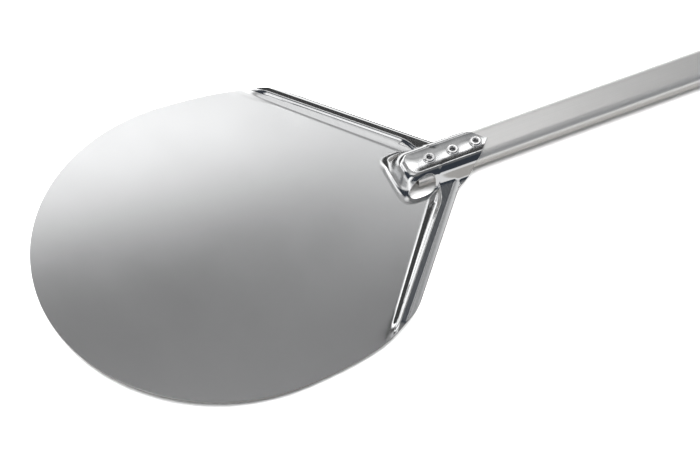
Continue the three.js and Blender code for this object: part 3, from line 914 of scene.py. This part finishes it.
def monotone(places, values, at):
    """Smooth interpolation that never overshoots its stations."""
    places, values, at = map(np.asarray, (places, values, at))
    steps = np.diff(places)
    slopes = np.diff(values) / steps
    product, total = slopes[:-1] * slopes[1:], slopes[:-1] + slopes[1:]
    inner = np.where(product > 0, 2 * product / np.where(total == 0, 1, total), 0.0)
    tangent = np.concatenate([[slopes[0]], inner, [slopes[-1]]])
    i = np.clip(np.searchsorted(places, at, side="right") - 1, 0, len(steps) - 1)
    h = steps[i]
    t = (at - places[i]) / h
    return (
        values[i] * (1 + 2 * t) * (1 - t) ** 2 + h * tangent[i] * t * (1 - t) ** 2
        + values[i + 1] * t * t * (3 - 2 * t) + h * tangent[i + 1] * t * t * (t - 1)
    )


def groove_depth(x, low, high, pitch, width, depth):
    """Depth of a row of rounded finger grooves between two places."""
    count = int((high - low) / pitch)
    centre = low + (high - low) / 2
    nearest = np.round((x - centre) / pitch) * pitch + centre
    within = np.abs(nearest - centre) <= count * pitch / 2
    reach = np.abs(x - nearest) / (width / 2)
    return np.where(within & (reach < 1), depth * (1 - reach ** 2) ** 2, 0.0)


def grip_surface(start, length, stations, low, high, around=144):
    """Outer skin of a grip as rings of points, grooved between two places."""
    shares = np.array([station[0] for station in stations])
    xs = np.unique(np.concatenate([
        np.linspace(0, 1, 150), np.linspace(0, 0.07, 30), np.linspace(0.93, 1, 30),
    ]))
    width = GROOVE[1]
    fine = np.arange(low - width, high + width, 0.28)
    xs = np.unique(np.round(np.concatenate([start + xs * length, fine]), 3))
    share = (xs - start) / length
    half_width = monotone(shares, [s[1] for s in stations], share)
    half_height = monotone(shares, [s[2] for s in stations], share)
    angle = 2 * np.pi * (np.arange(around) + 0.5) / around
    power = 2 / GRIP_SQUARENESS
    unit_y = np.sign(np.cos(angle)) * np.abs(np.cos(angle)) ** power
    unit_z = np.sign(np.sin(angle)) * np.abs(np.sin(angle)) ** power
    sides = smooth_step(np.abs(unit_z), 0.0, 0.25)
    cut = groove_depth(xs, low, high, *GROOVE)
    rings = []
    for x, w, h, depth in zip(xs, half_width, half_height, cut):
        y = (w - depth * sides) * unit_y
        z = (h - depth * sides) * unit_z
        rings.append(np.stack([np.full(around, x), y, TUBE_AXIS_Z + z], axis=1))
    return rings


def matched_bore(ring, margin):
    """Points of the tube's section, grown by a margin, in the directions of a ring's points."""
    outline = np.array(flat_oval(margin, 24))
    outline = resample(outline, 0.3, closed=True) - (0, TUBE_AXIS_Z)
    angles = np.arctan2(outline[:, 1], outline[:, 0])
    order = np.argsort(angles)
    angles, outline = angles[order], outline[order]
    angles = np.concatenate([angles - 2 * np.pi, angles, angles + 2 * np.pi])
    outline = np.vstack([outline, outline, outline])
    wanted = np.arctan2(ring[:, 2] - TUBE_AXIS_Z, ring[:, 1])
    return np.stack([np.interp(wanted, angles, outline[:, k]) for k in (0, 1)], axis=1)


def add_slider(material):
    start, end, mouth = SLIDER_START_X, SLIDER_START_X + SLIDER_LENGTH, SLIDER_MOUTH
    rings = grip_surface(start, SLIDER_LENGTH, SLIDER_STATIONS, start + 30, start + 100)
    bore = []
    for x, wider in ((end, mouth), (end - mouth, 0.0), (start + mouth, 0.0), (start, mouth)):
        flat = matched_bore(rings[0], SLIDER_CLEARANCE + wider)
        bore.append(np.hstack([np.full((len(flat), 1), x), flat + (0, TUBE_AXIS_Z)]))
    rings += bore
    vertices = np.vstack(rings)
    faces = ring_faces(ring_numbers(vertices, len(rings)), closed=True)
    add_grip("sliding_grip_body", vertices, faces, material, "slider", "sliding_grip")


def add_grip(name, vertices, faces, material, body, node):
    size = np.hypot(vertices[:, 1] / GRIP_FLARE[0], (vertices[:, 2] - TUBE_AXIS_Z) / GRIP_FLARE[1])
    add_piece(name, vertices, faces, material, body, node,
              point_data={"rubbed": smooth_step(size, 0.93, 1.08)})


def eye_cutter():
    """A hole through the grip's end whose mouths open in a rounded lip."""
    half = GRIP_FLARE[1] - 0.35
    wide = EYE_RADIUS + EYE_LIP + 5.0
    lip = [
        (EYE_RADIUS + EYE_LIP * (1 - math.cos(angle)), half - EYE_LIP * (1 - math.sin(angle)))
        for angle in np.radians(np.linspace(0, 90, 12))
    ]
    upper = lip + [(wide, half), (wide, half + 6), (0.0, half + 6)]
    lower = [(radius, -height) for radius, height in reversed(upper)]
    return plain_object("eye_cutter", *lathe(lower + upper, EYE_X, TUBE_AXIS_Z, 64))


def seat_cutter():
    """The sunk seat of the end rivet, and the hole for its shank."""
    seat = TUBE_AXIS_Z + GRIP_WAIST[1] - END_RIVET_SINK
    wide = RIVET_HEAD_RADIUS + SEAT_CLEARANCE
    profile = [
        (0.0, -6.0), (RIVET_SHANK_RADIUS + 0.05, -6.0), (RIVET_SHANK_RADIUS + 0.05, 0.0),
        (wide, 0.0), (wide, 6.0), (0.0, 6.0),
    ]
    return plain_object("seat_cutter", *lathe(profile, END_RIVET_X, seat, 64))


def capped(vertices, count):
    """Faces of a solid made of rings in a row, closed at both ends."""
    rings = ring_numbers(vertices, count)
    return ring_faces(rings) + [tuple(rings[0]), tuple(reversed(rings[-1]))]


def bore_cutter():
    ends = (END_GRIP_START_X - 5, TUBE_END_X + GAP)
    vertices = [(x, y, z) for x in ends for y, z in flat_oval(GAP)]
    return plain_object("bore_cutter", vertices, capped(vertices, 2))


def add_end_grip(material):
    """A closed blank with the tube's bore, the eye and the rivet's seat cut out of it."""
    start = END_GRIP_START_X
    rings = grip_surface(start, END_GRIP_LENGTH, END_STATIONS, start + 22, start + 74)
    last = rings[-1]
    centre = np.array([last[0, 0], 0.0, TUBE_AXIS_Z])
    for share in (0.75, 0.4):
        cap = centre + (last - centre) * share
        cap[:, 0] += 0.5 * (1 - share)
        rings.append(cap)
    vertices = np.vstack(rings)
    solid = plain_object("end_grip_blank", vertices, capped(vertices, len(rings)))
    cutters = [bore_cutter(), eye_cutter(), seat_cutter()]
    for cutter in cutters:
        cut = solid.modifiers.new(cutter.name, "BOOLEAN")
        cut.operation = "DIFFERENCE"
        cut.solver = "EXACT"
        cut.object = cutter
    shape = bpy.data.meshes.new_from_object(
        solid.evaluated_get(bpy.context.evaluated_depsgraph_get())
    )
    vertices = np.array([tuple(v.co) for v in shape.vertices]) / MM
    faces = [tuple(face.vertices) for face in shape.polygons]
    for spare in [solid, *cutters]:
        bpy.data.objects.remove(spare, do_unlink=True)
    add_grip("end_grip_body", vertices, faces, material, "peel", "end_grip")


# ---------- floor and light ----------

FLOOR_SIZE = 6000.0
FLOOR_Z = -6.1              # just below the grips
OVERHEAD_POWER = 640.0      # watts
OVERHEAD_SIZE = 4.0         # metres, as is its place
OVERHEAD_PLACE = (0.2, 0.2, 3.0)
CARD_ALONG = Vector((1.0, -0.21, 0.0)).normalized()
CARD_AWAY = Vector((0.21, 1.0, 0.0)).normalized()
SKY_STRENGTH = 1.25
NAVY = (0.030, 0.036, 0.046)
# (elevation in degrees, level) of the sky towards +Y, and of the rest of it
SKY_BEHIND = [
    (-90, 0.08), (-20, 0.10), (-14, 0.95), (14, 0.95), (20, 0.05), (44, 0.04), (51, 0.09),
    (53.2, 0.13), (57, 0.42), (61.5, 0.40), (66, 0.10), (90, 0.12),
]
SKY_FRONT = [
    (-90, (0.27, 0.26, 0.25)), (-2, (0.36, 0.35, 0.335)), (1, 0.66), (19, 0.66), (26, NAVY),
    (64, NAVY), (76, 0.16), (90, 0.16),
]
BEHIND_FROM = (0.62, 0.80)  # how far the way points to +Y where one becomes the other
# azimuth, half width, lowest and highest elevation, softness (all in degrees), level
SKY_PATCHES = [
    (127.0, 9.0, 34.0, 52.0, 3.0, 1.0),
    (146.0, 8.0, -3.0, 24.0, 3.0, 0.24),
    (203.0, 10.0, 2.0, 58.0, 3.0, 1.0),
    (5.0, 12.0, 26.0, 38.0, 3.0, 0.36),
    (22.0, 9.0, 42.0, 50.0, 2.0, 0.85),
    (125.0, 38.0, 65.0, 80.0, 3.0, 0.75),
]


def add_stage():
    s, z = FLOOR_SIZE, FLOOR_Z
    floor = plain_object("floor", [(-s, -s, z), (s, -s, z), (s, s, z), (-s, s, z)], [(0, 1, 2, 3)])
    material, nodes, surface, place = new_material("pale_floor")
    cloud = nodes.noise(place, 3.0, 2.0)
    nodes.feed(surface, "Base Color", nodes.ramp(cloud, [(0.3, 0.86), (0.7, 0.88)]))
    surface.inputs["Roughness"].default_value = 0.9
    surface.inputs["Specular IOR Level"].default_value = 0.1
    floor.data.materials.append(material)
    floor.visible_glossy = False


def sky_ramp(nodes, height, stops):
    """A vertical run of light from (elevation in degrees, level) stops."""
    return nodes.ramp(nodes.range(height, -1.0, 1.0, 0.0, 1.0),
                      [((sine(elevation) + 1) / 2, level) for elevation, level in stops])


def sky_patch(nodes, sky, flat_way, height, azimuth, half_width, low, high, soft, level):
    """Lays a soft-edged rectangle of light over part of the sky."""
    near = nodes.dot(flat_way, (cosine(azimuth), sine(azimuth), 0.0))
    sides = nodes.range(near, cosine(half_width + soft), cosine(half_width - soft), 0.0, 1.0)
    foot = nodes.range(height, sine(low - soft), sine(low + soft), 0.0, 1.0)
    head = nodes.range(height, sine(high - soft), sine(high + soft), 1.0, 0.0)
    share = nodes.math("MULTIPLY", sides, nodes.math("MULTIPLY", foot, head))
    return nodes.mix(share, sky, (level, level, level, 1.0))


def add_world():
    """A studio: bright low walls, dark above them, softboxes at the sides, a dim ceiling."""
    world = bpy.data.worlds.new("studio")
    bpy.context.scene.world = world
    world.use_nodes = True
    nodes = Nodes(world.node_tree)
    way = nodes.add("ShaderNodeTexCoord").outputs["Generated"]
    height = nodes.add("ShaderNodeSeparateXYZ", Vector=way).outputs["Z"]
    unit = nodes.add("ShaderNodeVectorMath", {"operation": "NORMALIZE"})
    nodes.feed(unit, "0", nodes.scaled(way, (1.0, 1.0, 0.0)))
    flat_way = unit.outputs[0]
    share = nodes.range(nodes.dot(flat_way, (0.0, 1.0, 0.0)), *BEHIND_FROM, 0.0, 1.0)
    sky = nodes.mix(share, sky_ramp(nodes, height, SKY_FRONT), sky_ramp(nodes, height, SKY_BEHIND))
    for patch in SKY_PATCHES:
        sky = sky_patch(nodes, sky, flat_way, height, *patch)
    background = world.node_tree.nodes["Background"]
    nodes.feed(background, "Color", sky)
    background.inputs["Strength"].default_value = SKY_STRENGTH


def add_card(name, near_left, width, depth, strength, fades):
    """A softbox, in metres, that fades out towards its left, right, near and far sides."""
    start, u, v = Vector(near_left), CARD_ALONG * width, CARD_AWAY * depth
    card = plain_object(name, [start, start + u, start + u + v, start + v], [(0, 1, 2, 3)], 1.0)
    layer = card.data.uv_layers.new(name="across")
    for loop, uv in zip(layer.data, ((0, 0), (1, 0), (1, 1), (0, 1))):
        loop.uv = uv
    material = bpy.data.materials.new(name)
    material.use_nodes = True
    nodes = Nodes(material.node_tree)
    material.node_tree.nodes.remove(material.node_tree.nodes["Principled BSDF"])
    uv = nodes.add("ShaderNodeSeparateXYZ", Vector=nodes.add("ShaderNodeTexCoord").outputs["UV"])
    left, right, near, far = fades
    shares = []
    for axis, size, first, last in (("X", width, left, right), ("Y", depth, near, far)):
        shares.append(nodes.range(uv.outputs[axis], 0.0, first / size, 0.0, 1.0))
        shares.append(nodes.range(uv.outputs[axis], 1.0 - last / size, 1.0, 1.0, 0.0))
    level = shares[0]
    for share in (*shares[1:], strength):
        level = nodes.math("MULTIPLY", level, share)
    light = nodes.add("ShaderNodeEmission", Color=(1.0, 1.0, 1.0, 1.0), Strength=level)
    both = nodes.add("ShaderNodeAddShader")
    nodes.feed(both, "0", light.outputs[0])
    nodes.feed(both, "1", nodes.add("ShaderNodeBsdfTransparent").outputs[0])
    nodes.feed(material.node_tree.nodes["Material Output"], "Surface", both.outputs[0])
    card.data.materials.append(material)
    card.visible_camera = False
    card.visible_shadow = False


def add_lights():
    add_card("softbox", (-1.07, 0.714, 0.62), 1.47, 0.25, 1.5, (0.05, 0.12, 0.12, 0.02))
    add_card("side_softbox", (0.28, 0.375, 0.62), 0.23, 0.28, 1.9, (0.10, 0.09, 0.12, 0.02))
    data = bpy.data.lights.new("overhead", "AREA")
    data.shape = "SQUARE"
    data.size = OVERHEAD_SIZE
    data.energy = OVERHEAD_POWER
    overhead = bpy.data.objects.new("overhead", data)
    bpy.context.collection.objects.link(overhead)
    overhead.location = OVERHEAD_PLACE
    overhead.visible_glossy = False
    overhead.visible_camera = False


# ---------- assembly ----------

def build():
    bpy.context.scene.view_settings.view_transform = "Standard"
    add_camera()
    add_stage()
    add_world()
    add_lights()
    brushed, satin, rivet, mandrel, polymer = (
        brushed_steel(), satin_tube(), rivet_steel(), mandrel_steel(), black_polymer(),
    )
    add_blade(brushed)
    add_tube(satin)
    seat = NECK_SEAT_Z - HOOD_DISH - RIVET_SINK
    grip = seat - INSIDE_TUBE_TOP
    for place, x in zip(("front", "middle", "rear"), RIVET_X):
        add_rivet(f"neck_rivet_{place}", x, seat, grip, rivet, mandrel)
    add_slider(polymer)
    add_end_grip(polymer)
    seat = TUBE_AXIS_Z + GRIP_WAIST[1] - END_RIVET_SINK
    add_rivet("end_grip_rivet", END_RIVET_X, seat, seat - INSIDE_TUBE_TOP, rivet, mandrel)


build()
